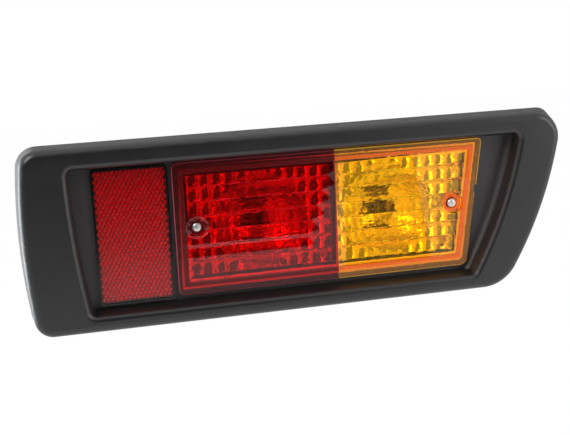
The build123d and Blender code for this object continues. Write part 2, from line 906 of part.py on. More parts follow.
def make_earth_link():
    first, second = bulb_places.values()
    link = prism(
        rectangle(first, second, -link_width / 2, link_width / 2), link_place, link_place + link_thickness
    )
    for x in (first, second):
        link -= rod(x, 0, sleeve_outer, link_place - 1, link_place + link_thickness + 1)
    return link


# ================================================================ mounting studs
def make_mounting_studs():
    points = [
        (0, stud_tip),
        (stud_radius - 0.8, stud_tip),
        (stud_radius, stud_tip + 0.8),
        (stud_radius, 0),
        (stud_collar_radius, 0),
        (stud_collar_radius, stud_collar_height),
        (stud_radius, stud_collar_height),
        (stud_radius, stud_collar_height + stud_embed),
        (0, stud_collar_height + stud_embed),
    ]
    return Compound(children=[turned(points, x, z) for x, z in stud_places])


def make_all():
    """Every sub-part by its node's name."""
    lens = make_lens()
    red_reflector, amber_reflector = make_reflectors()
    pieces = {
        "bezel": make_bezel(),
        "red_lens": split(lens, -1),
        "amber_lens": split(lens, 1),
        "lens_screws": make_lens_screws(),
        "lens_screw_seals": make_lens_screw_seals(),
        "lens_gasket": make_lens_gasket(),
        "reflex_frame": make_reflex_frame(),
        "reflex_lens": make_reflex_lens(),
        "reflex_backing": make_reflex_backing(),
        "reflex_push_nuts": make_reflex_nuts(),
        "housing": make_housing(),
        "housing_screws": make_housing_screws(),
        "panel_seal": make_panel_seal(),
        "stop_tail_reflector": red_reflector,
        "indicator_reflector": amber_reflector,
        "reflector_screws": make_reflector_screws(),
        "earth_link": make_earth_link(),
        "rear_cover": make_rear_cover(),
        "rear_cover_seal": make_rear_cover_seal(),
        "rear_cover_screws": make_rear_cover_screws(),
        "cable_grommet": make_cable_grommet(),
        "mounting_studs": make_mounting_studs(),
    }
    for name, x in bulb_places.items():
        double = name == "stop_tail"
        pieces[f"{name}_bulb_glass"] = make_bulb_glass(x)
        pieces[f"{name}_bulb_cap"] = make_bulb_cap(x, double)
        pieces[f"{name}_bulb_base"] = make_bulb_base(x)
        pieces[f"{name}_bulb_contacts"] = make_bulb_contacts(x, double)
        pieces[f"{name}_bulb_filaments"] = make_bulb_filaments(x, double)
        pieces[f"{name}_holder_sleeve"] = make_sleeve(x, double)
        pieces[f"{name}_contact_plate"] = make_contact_plate(x, double)
        pieces[f"{name}_contact_leaves"] = make_contact_leaves(x, double)
    return pieces


if __name__ == "__main__":
    os.makedirs("parts", exist_ok=True)
    for node, shape in make_all().items():
        save(node, shape)
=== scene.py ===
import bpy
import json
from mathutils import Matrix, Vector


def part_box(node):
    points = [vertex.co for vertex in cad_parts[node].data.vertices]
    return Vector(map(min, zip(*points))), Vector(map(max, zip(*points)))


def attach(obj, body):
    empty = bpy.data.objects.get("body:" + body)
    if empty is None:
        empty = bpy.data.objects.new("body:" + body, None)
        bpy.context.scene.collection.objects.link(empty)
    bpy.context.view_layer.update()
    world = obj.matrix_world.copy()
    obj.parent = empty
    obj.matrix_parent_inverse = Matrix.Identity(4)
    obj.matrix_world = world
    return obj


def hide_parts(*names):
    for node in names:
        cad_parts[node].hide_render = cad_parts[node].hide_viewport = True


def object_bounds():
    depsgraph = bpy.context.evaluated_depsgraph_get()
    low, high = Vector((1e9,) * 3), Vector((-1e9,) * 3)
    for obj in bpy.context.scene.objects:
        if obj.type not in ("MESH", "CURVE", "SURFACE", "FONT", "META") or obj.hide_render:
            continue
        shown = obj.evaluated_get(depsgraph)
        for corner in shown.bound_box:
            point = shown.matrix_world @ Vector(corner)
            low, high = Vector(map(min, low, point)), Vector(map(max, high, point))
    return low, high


bl_info = {
    "name": "Trailer tail light looks",
    "version": (1, 0, 0),
    "blender": (4, 5, 0),
    "location": "3D View > Sidebar > Tail light",
    "description": "Finishes, lens optics, reflectors and studio for a recessed rear combination lamp",
    "category": "Object",
}

import json
import math
from collections import namedtuple

import bmesh
import bpy
from mathutils import Matrix, Vector

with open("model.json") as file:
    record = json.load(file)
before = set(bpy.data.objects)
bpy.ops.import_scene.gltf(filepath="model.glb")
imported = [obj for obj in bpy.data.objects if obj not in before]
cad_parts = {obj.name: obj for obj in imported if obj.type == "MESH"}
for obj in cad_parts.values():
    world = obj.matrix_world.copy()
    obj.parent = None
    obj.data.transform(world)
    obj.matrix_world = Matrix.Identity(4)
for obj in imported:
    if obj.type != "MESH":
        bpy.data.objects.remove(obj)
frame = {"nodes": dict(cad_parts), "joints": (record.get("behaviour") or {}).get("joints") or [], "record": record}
cad_low, cad_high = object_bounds()

ROOT = "lamp_body"
LENS = "lens"
HALVES = ("stop_tail", "indicator")

# where each half's bulb stands
BULB_AXIS = {
    joint["name"].removesuffix("_bulb_turn"): Vector(joint["pos_m"])
    for joint in frame["joints"]
    if joint["name"].endswith("_bulb_turn")
}

MM = 0.001
TINY = 0.001 * MM

# surround and lenses; a lean is how far an end runs sideways for each unit of height
RECESS_DEPTH = 15.0 * MM
LENS_BORDER = 8.2 * MM
LENS_THICKNESS = 2.6 * MM
LENS_END_LEAN = 0.137
LENS_EDGE_SHARE = 0.46
BAND_PITCH = 10.7 * MM
SINK_DEPTH = 0.016 * MM
RIB_DEPTH = 2.1 * MM

# reflectors
REFLECTOR_END_LEAN = 0.082
DISH_BACK = 16.5 * MM
DISH_COLUMNS = 221
DISH_ROWS = 121
BORE_SIDES = 72
BORE_LENGTH = 80 * MM

# side reflector; a prism's top radius and the plain margin are shares of the pitch
PRISM_SIDES = 6
PRISM_TOP = 0.16
PRISM_TURN = math.radians(-30)
PRISM_STRETCH = (0.88, 1.08, 1.0)
PRISM_MARGIN = 0.7
WINDOW_EASE = 0.35 * MM

# stage
FLOOR_REACH = 4.0
FLOOR_WHITE = 1.03
FLOOR_WHITE_SHARE = 0.9
FRONT_CARDS = -0.9
BACK_CARD = 1.2
CAMERA_PLACE = (-0.1913, -0.7697, 0.1644)
CAMERA_FORWARD = (0.22423, 0.95270, -0.20514)
CAMERA_UPWARD = (0.09400, 0.18837, 0.97758)
SENSOR_WIDTH = 36


# ---------------------------------------------------------------- settings
class LampFinishSettings(bpy.types.PropertyGroup):
    """Colours and surface values of the lamp's finishes."""

    surround: bpy.props.FloatVectorProperty(
        name="Surround", description="Colour of the black moulded surround",
        default=(0.009, 0.009, 0.009), subtype="COLOR", size=3, min=0, max=1,
    )
    surround_roughness: bpy.props.FloatProperty(
        name="Surround roughness", description="Roughness of the satin surround",
        default=0.32, min=0, max=1, subtype="FACTOR",
    )
    red: bpy.props.FloatVectorProperty(
        name="Red lens", description="Colour that the red plastic lets through",
        default=(0.84, 0.006, 0.012), subtype="COLOR", size=3, min=0, max=1,
    )
    amber: bpy.props.FloatVectorProperty(
        name="Amber lens", description="Colour that the amber plastic lets through",
        default=(1.0, 0.585, 0.002), subtype="COLOR", size=3, min=0, max=1,
    )
    reflex: bpy.props.FloatVectorProperty(
        name="Reflex red", description="Colour of the side reflector",
        default=(0.72, 0.008, 0.03), subtype="COLOR", size=3, min=0, max=1,
    )


class ReflectorSettings(bpy.types.PropertyGroup):
    """Shape of the bright reflectors behind the lenses."""

    focus: bpy.props.FloatProperty(
        name="Focus", description="Focal length of each dish", default=15 * MM, unit="LENGTH",
    )
    flute_pitch: bpy.props.FloatProperty(
        name="Flute pitch", description="Width of one upright flute", default=8.8 * MM, unit="LENGTH",
    )
    flute_depth: bpy.props.FloatProperty(
        name="Flute depth", description="Height of a flute's crown", default=0.5 * MM, unit="LENGTH",
    )
    sheet: bpy.props.FloatProperty(
        name="Sheet", description="Thickness of the reflector's wall", default=1.0 * MM, unit="LENGTH",
    )
    hole_radius: bpy.props.FloatProperty(
        name="Bulb hole", description="Radius of the hole round the bulb", default=13.2 * MM, unit="LENGTH",
    )


class ReflexSettings(bpy.types.PropertyGroup):
    """Prisms of the side reflector."""

    pitch: bpy.props.FloatProperty(
        name="Prism pitch", description="Distance between neighbouring prisms",
        default=3.05 * MM, unit="LENGTH",
    )
    height: bpy.props.FloatProperty(
        name="Prism height", description="Height of one prism", default=0.9 * MM, unit="LENGTH",
    )
    window: bpy.props.FloatProperty(
        name="Window", description="Thickness of the clear front", default=1.2 * MM, unit="LENGTH",
    )


class StageSettings(bpy.types.PropertyGroup):
    """Floor, lamps and camera."""

    floor_drop: bpy.props.FloatProperty(
        name="Floor drop", description="Height of the lamp above the floor", default=0.32, unit="LENGTH",
    )
    ambient: bpy.props.FloatProperty(
        name="Ambient", description="Strength of the even light", default=0.75, min=0,
    )
    key_power: bpy.props.FloatProperty(
        name="Key", description="Power of the main soft lamp", default=9.0, min=0, unit="POWER",
    )
    focal_length: bpy.props.FloatProperty(
        name="Focal length", description="Camera lens in millimetres", default=69.47, min=10,
    )


# ---------------------------------------------------------------- helpers
def link(piece):
    """Puts a new object into the scene."""
    bpy.context.scene.collection.objects.link(piece)
    return piece


def set_finish(piece, material):
    """Gives a piece one material on all its faces."""
    piece.data.materials.clear()
    piece.data.materials.append(material)


def soften(mesh, degrees):
    """Smooth shading over curves, with crisp edges above an angle."""
    shape = bmesh.new()
    shape.from_mesh(mesh)
    bmesh.ops.remove_doubles(shape, verts=shape.verts, dist=2 * TINY)
    bmesh.ops.dissolve_degenerate(shape, edges=shape.edges, dist=0.1 * TINY)
    for face in shape.faces:
        face.smooth = True
    for edge in shape.edges:
        edge.smooth = len(edge.link_faces) == 2 and edge.calc_face_angle(math.pi) < math.radians(degrees)
    shape.to_mesh(mesh)
    shape.free()


def even_normals(piece):
    """Keeps broad faces flat beside their rounded edges."""
    even = piece.modifiers.new("even_normals", "WEIGHTED_NORMAL")
    even.keep_sharp = True


def softened_copy(node, material, body, degrees=30):
    """A welded, smoothly shaded copy of a frame part that stands for it."""
    piece = link(bpy.data.objects.new(f"{node}_piece", frame["nodes"][node].data.copy()))
    soften(piece.data, degrees)
    even_normals(piece)
    set_finish(piece, material)
    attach(piece, body)
    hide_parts(node)
    return piece


def evaluated_mesh(piece):
    """The piece's mesh with its modifiers worked out."""
    bpy.context.view_layer.update()
    seen = piece.evaluated_get(bpy.context.evaluated_depsgraph_get())
    return bpy.data.meshes.new_from_object(seen)


def tree_piece(name, tree, values):
    """Runs a geometry tree with its inputs set and keeps the plain mesh."""
    piece = link(bpy.data.objects.new(name, bpy.data.meshes.new(name)))
    maker = piece.modifiers.new("maker", "NODES")
    maker.node_group = tree
    sockets = {item.name: item.identifier for item in tree.interface.items_tree if item.in_out == "INPUT"}
    for label, value in values.items():
        maker[sockets[label]] = value
    mesh = evaluated_mesh(piece)
    piece.modifiers.clear()
    piece.data = mesh
    return piece


class Nodes:
    """Short way to add, feed and join nodes in a tree."""

    def __init__(self, tree):
        self.tree = tree

    def add(self, kind, **settings):
        """A new node with its settings."""
        node = self.tree.nodes.new(kind)
        for key, value in settings.items():
            setattr(node, key, value)
        return node

    def join(self, source, target):
        """Links an output to an input."""
        self.tree.links.new(source, target)

    def feed(self, node, values):
        """Gives a node's inputs their links or constants; a colour comes without its alpha."""
        for key, value in values.items():
            socket = node.inputs[key]
            if isinstance(value, bpy.types.NodeSocket):
                self.join(value, socket)
            elif socket.type == "RGBA":
                socket.default_value = (*value, 1)
            else:
                socket.default_value = value

    def run(self, kind, values=(), **settings):
        """The first output of a new node with its inputs fed."""
        node = self.add(kind, **settings)
        self.feed(node, dict(values))
        return node.outputs[0]

    def math(self, operation, *values):
        """The result of one step of arithmetic on outputs and numbers."""
        return self.run("ShaderNodeMath", enumerate(values), operation=operation)

    def parts(self, vector):
        """The three parts of a vector, by the names of their axes."""
        node = self.add("ShaderNodeSeparateXYZ")
        self.join(vector, node.inputs[0])
        return node.outputs

    def vector(self, **parts):
        """A vector of the parts given by axis, with zero for the others."""
        return self.run("ShaderNodeCombineXYZ", parts)


def material_base(name):
    """A fresh node material, its nodes and its principled shader."""
    material = bpy.data.materials.new(name)
    material.use_nodes = True
    return material, Nodes(material.node_tree), material.node_tree.nodes["Principled BSDF"]


def object_place(nodes):
    """The piece's own coordinates."""
    return nodes.add("ShaderNodeTexCoord").outputs["Object"]


def object_noise(nodes, scale, detail):
    """Noise on the piece's own coordinates, from 0 to 1."""
    return nodes.run("ShaderNodeTexNoise", {
        "Vector": object_place(nodes), "Scale": scale, "Detail": detail, "Roughness": 0.55,
    })


def relief(nodes, height, strength, distance):
    """The normal with which a height shows as relief."""
    return nodes.run("ShaderNodeBump", {"Height": height, "Strength": strength, "Distance": distance})


def spread(nodes, factor, low, high):
    """Maps a factor of 0 to 1 onto a range."""
    return nodes.run("ShaderNodeMapRange", {"Value": factor, "To Min": low, "To Max": high})


def tone(nodes, factor, first, second):
    """Blends two colours by a factor; a mix node's colours go by number, as its names repeat."""
    node = nodes.add("ShaderNodeMix", data_type="RGBA")
    nodes.feed(node, {0: factor, 6: first, 7: second})
    return node.outputs[2]


def seen_directly(nodes):
    """One for what the eye sees, mirrored and through clear plastic too, and zero for other light."""
    path = nodes.add("ShaderNodeLightPath").outputs
    bent = nodes.math("ADD", path["Is Glossy Ray"], path["Is Transmission Ray"])
    return nodes.math("MINIMUM", nodes.math("ADD", path["Is Camera Ray"], bent), 1.0)


# ---------------------------------------------------------------- finishes
def moulded_plastic(name, colour, roughness, grain=1.0, sheen=0.62):
    """Satin moulded plastic with a fine spark-eroded grain."""
    material, nodes, shader = material_base(name)
    cloud = object_noise(nodes, scale=45, detail=4)
    grit = object_noise(nodes, scale=2600, detail=2)
    lighter = tuple(min(1.0, part * 1.35 + 0.002) for part in colour)
    nodes.feed(shader, {
        "Base Color": tone(nodes, cloud, colour, lighter),
        "Roughness": spread(nodes, cloud, roughness - 0.05, roughness + 0.06),
        "Specular IOR Level": sheen,
        "Normal": relief(nodes, grit, 0.18 * grain, 0.12 * MM),
    })
    return material


def clear_plastic(name, colour, ripple=0.6 * MM):
    """Tinted see-through plastic, crinkled by flow marks."""
    material, nodes, shader = material_base(name)
    wear = object_noise(nodes, scale=90, detail=3)
    cells = nodes.run("ShaderNodeTexVoronoi", {"Vector": object_place(nodes), "Scale": 240})
    nodes.feed(shader, {
        "Base Color": colour,
        "Transmission Weight": 1.0,
        "IOR": 1.49,
        "Roughness": spread(nodes, wear, 0.015, 0.0375),
        "Normal": relief(nodes, cells, 1.0, ripple),
    })
    return material


def hazy_window(name, colour):
    """See-through plastic with a soft sheen on its front."""
    material = clear_plastic(name, colour, ripple=0.0)
    tree = material.node_tree
    Nodes(tree).feed(tree.nodes["Principled BSDF"], {
        "IOR": 1.05, "Coat Weight": 1.0, "Coat Roughness": 0.2,
    })
    return material


LensLook = namedtuple("LensLook", "border haze border_haze lean left_open right_open")
LENS_LOOKS = {
    "red": LensLook(
        border=(0.5, 0.015, 0.02), haze=0.0, border_haze=0.03,
        lean=0.0, left_open=False, right_open=True,
    ),
    "amber": LensLook(
        border=(0.9, 0.36, 0.05), haze=0.02, border_haze=0.2,
        lean=LENS_END_LEAN, left_open=True, right_open=False,
    ),
}


def border_mask(nodes, low, high, look):
    """One on a lens's plain border and zero inside it; the end at its neighbour has no border."""
    place = nodes.parts(object_place(nodes))
    across = nodes.math("SUBTRACT", place["X"], nodes.math("MULTIPLY", place["Z"], look.lean))
    inner_left = low.x + (0 if look.left_open else LENS_BORDER)
    inner_right = high.x - look.lean * high.z - (0 if look.right_open else LENS_BORDER)
    pairs = (
        (inner_left, across),
        (across, inner_right),
        (low.z + LENS_BORDER, place["Z"]),
        (place["Z"], high.z - LENS_BORDER),
    )
    mask = 0.0
    for larger, smaller in pairs:
        mask = nodes.math("MAXIMUM", mask, nodes.math("GREATER_THAN", larger, smaller))
    return mask


def sink_marks(nodes):
    """Height of the faint waves on a lens, one for each band of ribs on its back."""
    height = nodes.parts(object_place(nodes))["Z"]
    turn = nodes.math("MULTIPLY", height, 2 * math.pi / BAND_PITCH)
    skew = nodes.math("MULTIPLY", nodes.math("COSINE", nodes.math("MULTIPLY", turn, 2.0)), 0.15)
    return nodes.math("ADD", nodes.math("COSINE", turn), skew)


def lens_face(name, colour, low, high, look):
    """Front of a lens: glossy with sink marks, duller along its border."""
    material, nodes, shader = material_base(name)
    mask = border_mask(nodes, low, high, look)
    nodes.feed(shader, {
        "Base Color": tone(nodes, mask, colour, look.border),
        "Transmission Weight": spread(nodes, mask, 1.0 - look.haze, 1.0 - look.border_haze),
        "Roughness": spread(nodes, mask, 0.02, 0.22),
        "IOR": 1.46,
        "Normal": relief(nodes, sink_marks(nodes), 1.0, SINK_DEPTH),
    })
    return material


def frosted_plastic(name, colour, clearness, painted_glow, roughness=0.4):
    """Plastic seen edge on, with a painted glow that stands in for the light carried inside it."""
    material, nodes, shader = material_base(name)
    cloud = object_noise(nodes, scale=300, detail=3)
    deeper = (colour[0] * 0.85, colour[1] * 0.7, colour[2])
    nodes.feed(shader, {
        "Base Color": tone(nodes, cloud, deeper, colour),
        "Transmission Weight": clearness,
        "IOR": 1.49,
        "Roughness": roughness,
        # painted glow: emission in the plastic's own colour stands in for light carried inside it
        "Emission Color": colour,
        "Emission Strength": painted_glow,
    })
    return material


def metal(name, colour, roughness):
    """Bare or plated metal with fine uneven polish."""
    material, nodes, shader = material_base(name)
    cloud = object_noise(nodes, scale=260, detail=4)
    grit = object_noise(nodes, scale=1800, detail=2)
    darker = tuple(part * 0.72 for part in colour)
    nodes.feed(shader, {
        "Base Color": tone(nodes, cloud, darker, colour),
        "Metallic": 1.0,
        "Roughness": spread(nodes, cloud, roughness, roughness + 0.1),
        "Normal": relief(nodes, grit, 0.08, 0.1 * MM),
    })
    return material


def rubber(name, colour, roughness=0.7):
    """Dull, slightly uneven rubber or foam."""
    material, nodes, shader = material_base(name)
    cloud = object_noise(nodes, scale=500, detail=3)
    lighter = tuple(part * 1.6 + 0.003 for part in colour)
    nodes.feed(shader, {
        "Base Color": tone(nodes, cloud, colour, lighter),
        "Roughness": roughness,
        "Normal": relief(nodes, cloud, 0.3, 0.2 * MM),
    })
    return material


def bright_coat(name, painted_scatter_glow):
    """Metallised plastic: a soft mirror with slight orange peel, and a painted glow that stands in for the light
    scattered around it.
    """
    material, nodes, shader = material_base(name)
    nodes.feed(shader, {
        "Base Color": (0.95, 0.95, 0.96),
        "Metallic": 0.78,
        "Roughness": 0.07,
        # painted glow: white emission in place of the scattered light
        "Emission Color": (1, 1, 1),
        "Emission Strength": painted_scatter_glow,
        "Normal": relief(nodes, object_noise(nodes, scale=300, detail=2), 0.12, 0.3 * MM),
    })
    return material


def lamp_glass(name):
    """Clear blown glass with faint smears."""
    material, nodes, shader = material_base(name)
    nodes.feed(shader, {
        "Base Color": (0.96, 0.97, 0.97),
        "Transmission Weight": 1.0,
        "IOR": 1.47,
        "Roughness": spread(nodes, object_noise(nodes, scale=120, detail=3), 0.0, 0.05),
    })
    return material


def prism_red(name, colour):
    """Red plastic of the prisms, which flashes where a facet faces the light, with a faint painted glow in its own
    red.
    """
    material, nodes, shader = material_base(name)
    darker = tuple(part * 0.55 for part in colour)
    nodes.feed(shader, {
        "Base Color": tone(nodes, object_noise(nodes, scale=400, detail=3), darker, colour),
        "Metallic": 0.2,
        "Roughness": 0.3,
        # painted glow: faint emission in place of the prisms' retro-reflected light
        "Emission Color": colour,
        "Emission Strength": 0.03,
    })
    return material


FINISHES = {}


class LAMP_OT_finishes(bpy.types.Operator):
    """Make the finishes that all pieces share"""

    bl_idname = "lamp.finishes"
    bl_label = "Finishes"

    def execute(self, context):
        values = context.scene.lamp_finish
        FINISHES.update(
            surround=moulded_plastic("satin_black_surround", values.surround, values.surround_roughness),
            # lighter, reddish recess finish: painted light and a painted reflection of the red lens
            recess=moulded_plastic("recess_floor_painted_light", (0.02, 0.0155, 0.017), 0.4),
            housing=moulded_plastic("dark_grey_housing", (0.02, 0.02, 0.021), 0.5, grain=1.5),
            frame=moulded_plastic("reflex_frame_black", (0.004, 0.004, 0.004), 0.12, grain=0.2, sheen=0.35),
            red=clear_plastic("clear_red_lens", values.red),
            amber=clear_plastic("clear_amber_lens", values.amber),
            # the lens walls and edges carry a painted glow; the red edge's pinkish grey is a painted highlight
            # line
            red_wall=frosted_plastic("red_lens_wall", (0.3, 0.002, 0.006), clearness=0.4, painted_glow=0.1),
            amber_wall=frosted_plastic("amber_lens_wall", (1.0, 0.32, 0.08), clearness=0.1, painted_glow=0.2),
            red_edge=frosted_plastic(
                "red_lens_edge", (0.5, 0.09, 0.11), clearness=0.3, painted_glow=0.03, roughness=0.12),
            amber_edge=frosted_plastic(
                "amber_lens_edge", (0.95, 0.55, 0.06), clearness=0.2, painted_glow=0.25, roughness=0.12),
            reflex_window=hazy_window("clear_red_reflex", (0.95, 0.2, 0.2)),
            prisms=prism_red("red_prisms", values.reflex),
            backing=moulded_plastic("dark_red_backing", (0.03, 0.002, 0.003), 0.5),
            zinc=metal("zinc_plate", (0.78, 0.78, 0.75), 0.24),
            bright_zinc=metal("bright_zinc", (0.96, 0.98, 0.95), 0.3),
            spring=metal("spring_steel", (0.35, 0.35, 0.37), 0.35),
            brass=metal("rolled_brass", (0.72, 0.52, 0.22), 0.3),
            nickel=metal("nickel_plate", (0.68, 0.64, 0.55), 0.22),
            solder=metal("soft_solder", (0.6, 0.6, 0.62), 0.4),
            wire=metal("filament_wire", (0.25, 0.25, 0.26), 0.4),
            seal=rubber("moulded_seal", (0.012, 0.012, 0.012)),
            pale_seal=rubber("pale_foam_seal", (0.55, 0.53, 0.5), 0.8),
            foam=rubber("closed_cell_foam", (0.018, 0.018, 0.018), 0.9),
            laminate=moulded_plastic("brown_laminate", (0.11, 0.05, 0.022), 0.5),
            glaze=moulded_plastic("dark_base_glaze", (0.015, 0.01, 0.015), 0.2),
            # the amber reflector carries a painted glow; the red one has none
            mirror=bright_coat("metallised_reflector", painted_scatter_glow=0.0),
            amber_mirror=bright_coat("metallised_amber_reflector_painted_glow", painted_scatter_glow=0.19),
            glass=lamp_glass("blown_glass"),
        )
        return {"FINISHED"}


# ---------------------------------------------------------------- surround
def in_recess(face, front, middle):
    """Whether a face is the floor or an end of the surround's recess."""
    depth = face.center.y - front
    outward = face.center - middle
    outward.y = 0
    inside = 0.5 * MM < depth < RECESS_DEPTH + 0.3 * MM and outward.dot(face.normal) < TINY
    forward = face.normal.y < 0.1
    upright = abs(face.normal.z) < 0.6
    return inside and forward and upright


class LAMP_OT_surround(bpy.types.Operator):
    """Make the moulded surround and the side reflector's frame"""

    bl_idname = "lamp.surround"
    bl_label = "Surround"

    def execute(self, context):
        surround = softened_copy("bezel", FINISHES["surround"], ROOT)
        # the recess floor and ends take the lighter, reddish finish, painted light and a painted red reflection;
        # the top and bottom walls stay surround black
        surround.data.materials.append(FINISHES["recess"])
        low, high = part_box("bezel")
        for face in surround.data.polygons:
            if in_recess(face, low.y, (low + high) / 2):
                face.material_index = 1
        softened_copy("reflex_frame", FINISHES["frame"], ROOT)
        return {"FINISHED"}


# ---------------------------------------------------------------- lenses
def is_front(face, front):
    """Whether a face lies on the flat front of a lens."""
    return face.normal.y < -0.99 and abs(face.center.y - front) < 0.05 * MM


def is_wall(face, plate_back):
    """Whether a face belongs to the walls behind a lens plate, and not to the low ribs between them."""
    behind = face.center.y - plate_back
    return behind > 0.1 * MM and (abs(face.normal.y) < 0.3 or behind > RIB_DEPTH)


def is_rim(face, low, high, plate_back):
    """Whether a face belongs to the outer edge of a lens plate."""
    away, size = face.center - (low + high) / 2, high - low
    outermost = max(abs(away.x) / size.x, abs(away.z) / size.z) > LENS_EDGE_SHARE
    return outermost and face.center.y < plate_back and abs(face.normal.y) < 0.97


def dress_lens(colour, tint):
    """One half of the lens, with its own finishes for the front, the walls behind it and the edge."""
    low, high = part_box(f"{colour}_lens")
    plate_back = low.y + LENS_THICKNESS
    lens = softened_copy(f"{colour}_lens", FINISHES[colour], LENS)
    lens.data.materials.append(lens_face(f"{colour}_lens_face", tint, low, high, LENS_LOOKS[colour]))
    lens.data.materials.append(FINISHES[f"{colour}_wall"])
    lens.data.materials.append(FINISHES[f"{colour}_edge"])
    for face in lens.data.polygons:
        if is_front(face, low.y):
            face.material_index = 1
        elif is_wall(face, plate_back):
            face.material_index = 2
        elif is_rim(face, low, high, plate_back):
            face.material_index = 3


class LAMP_OT_lenses(bpy.types.Operator):
    """Make the red and amber lenses"""

    bl_idname = "lamp.lenses"
    bl_label = "Lenses"

    def execute(self, context):
        values = context.scene.lamp_finish
        dress_lens("red", values.red)
        dress_lens("amber", values.amber)
        return {"FINISHED"}


# ---------------------------------------------------------------- geometry trees
def new_tree(name, numbers, vectors=()):
    """The nodes of a new geometry tree and the values that its named inputs give."""
    tree = bpy.data.node_groups.new(name, "GeometryNodeTree")
    kinds = dict.fromkeys(numbers, "Float") | dict.fromkeys(vectors, "Vector") | {"Material": "Material"}
    for label, kind in kinds.items():
        tree.interface.new_socket(label, in_out="INPUT", socket_type=f"NodeSocket{kind}")
    tree.interface.new_socket("Geometry", in_out="OUTPUT", socket_type="NodeSocketGeometry")
    nodes = Nodes(tree)
    return nodes, nodes.add("NodeGroupInput").outputs


def close_tree(nodes, given, shape):
    """The tree, once it ends in its shape made real and given its material."""
    real = nodes.run("GeometryNodeRealizeInstances", {"Geometry": shape})
    finished = nodes.run("GeometryNodeSetMaterial", {"Geometry": real, "Material": given["Material"]})
    nodes.join(finished, nodes.add("NodeGroupOutput").inputs[0])
    return nodes.tree


def between(nodes, start, end, share):
    """A value some share of the way from a start to an end."""
    return nodes.math("ADD", start, nodes.math("MULTIPLY", share, nodes.math("SUBTRACT", end, start)))


# ---------------------------------------------------------------- reflectors
def dish_place(nodes, given):
    """Place on a parabolic dish with upright flutes for each point of a flat grid one unit wide."""
    flat = nodes.parts(nodes.run("GeometryNodeInputPosition"))
    z = between(nodes, given["Low"], given["High"], nodes.math("ADD", flat["Y"], 0.5))
    right = nodes.math("ADD", given["Right"], nodes.math("MULTIPLY", z, given["Lean"]))
    x = between(nodes, given["Left"], right, nodes.math("ADD", flat["X"], 0.5))
    off = nodes.math("SUBTRACT", x, given["Bulb X"])
    square = nodes.math("ADD", nodes.math("MULTIPLY", off, off), nodes.math("MULTIPLY", z, z))
    rise = nodes.math("DIVIDE", square, nodes.math("MULTIPLY", given["Focus"], 4.0))
    dish = nodes.math("MINIMUM", nodes.math("ADD", given["Back"], rise), given["Front"])
    turn = nodes.math("DIVIDE", off, given["Flute Pitch"])
    inside = nodes.math("SUBTRACT", nodes.math("FRACT", turn), 0.5)
    crown = nodes.math("SUBTRACT", 1.0, nodes.math("MULTIPLY", nodes.math("MULTIPLY", inside, inside), 4.0))
    forward = nodes.math("SUBTRACT", dish, nodes.math("MULTIPLY", given["Flute Depth"], crown))
    return nodes.vector(X=x, Y=nodes.math("MULTIPLY", forward, -1.0), Z=z)


def thickened(nodes, sheet, thickness):
    """A sheet with a back behind it and walls round its edge."""
    back = nodes.run("GeometryNodeExtrudeMesh", {
        "Mesh": sheet, "Offset": nodes.vector(Y=thickness), "Individual": False,
    })
    both = nodes.add("GeometryNodeJoinGeometry")
    nodes.join(back, both.inputs[0])
    nodes.join(nodes.run("GeometryNodeFlipFaces", {"Mesh": sheet}), both.inputs[0])
    return nodes.run("GeometryNodeMergeByDistance", {"Geometry": both.outputs[0], "Distance": TINY})


def bored(nodes, given, wall):
    """A wall with a round hole through it for the bulb."""
    drill = nodes.run("GeometryNodeMeshCylinder", {
        "Vertices": BORE_SIDES, "Radius": given["Hole Radius"], "Depth": BORE_LENGTH,
    })
    placed = nodes.run("GeometryNodeTransform", {
        "Geometry": drill, "Translation": nodes.vector(X=given["Bulb X"]), "Rotation": (math.pi / 2, 0, 0),
    })
    return nodes.run("GeometryNodeMeshBoolean", {"Mesh 1": wall, "Mesh 2": placed}, operation="DIFFERENCE")


def reflector_tree():
    """Grid pushed into a fluted dish, thickened and bored for the bulb."""
    nodes, given = new_tree("fluted_reflector", (
        "Left", "Right", "Lean", "Low", "High", "Bulb X", "Focus", "Back", "Front",
        "Flute Pitch", "Flute Depth", "Sheet", "Hole Radius",
    ))
    grid = nodes.run("GeometryNodeMeshGrid", {
        "Size X": 1.0, "Size Y": 1.0, "Vertices X": DISH_COLUMNS, "Vertices Y": DISH_ROWS,
    })
    dish = nodes.run("GeometryNodeSetPosition", {"Geometry": grid, "Position": dish_place(nodes, given)})
    return close_tree(nodes, given, bored(nodes, given, thickened(nodes, dish, given["Sheet"])))


# each half's reflector: how its right end leans, and its coat
REFLECTORS = {"stop_tail": (0.0, "mirror"), "indicator": (REFLECTOR_END_LEAN, "amber_mirror")}


class LAMP_OT_reflectors(bpy.types.Operator):
    """Make the fluted reflectors behind the lenses"""

    bl_idname = "lamp.reflectors"
    bl_label = "Reflectors"

    def execute(self, context):
        values = context.scene.lamp_reflectors
        tree = reflector_tree()
        for half, (lean, coat) in REFLECTORS.items():
            low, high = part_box(f"{half}_reflector")
            piece = tree_piece(f"{half}_reflector_piece", tree, {
                "Left": low.x, "Right": high.x - lean * high.z, "Lean": lean, "Low": low.z, "High": high.z,
                "Bulb X": BULB_AXIS[half].x, "Focus": values.focus, "Back": -DISH_BACK, "Front": -low.y,
                "Flute Pitch": values.flute_pitch, "Flute Depth": values.flute_depth,
                "Sheet": values.sheet, "Hole Radius": values.hole_radius, "Material": FINISHES[coat],
            })
            soften(piece.data, degrees=24)
            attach(piece, ROOT)
            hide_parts(f"{half}_reflector")
        return {"FINISHED"}


# ---------------------------------------------------------------- side reflector
def steps_along(nodes, length, step):
    """How many seats fit along a length, one at each end."""
    return nodes.math("ADD", nodes.math("FLOOR", nodes.math("DIVIDE", length, step)), 1.0)


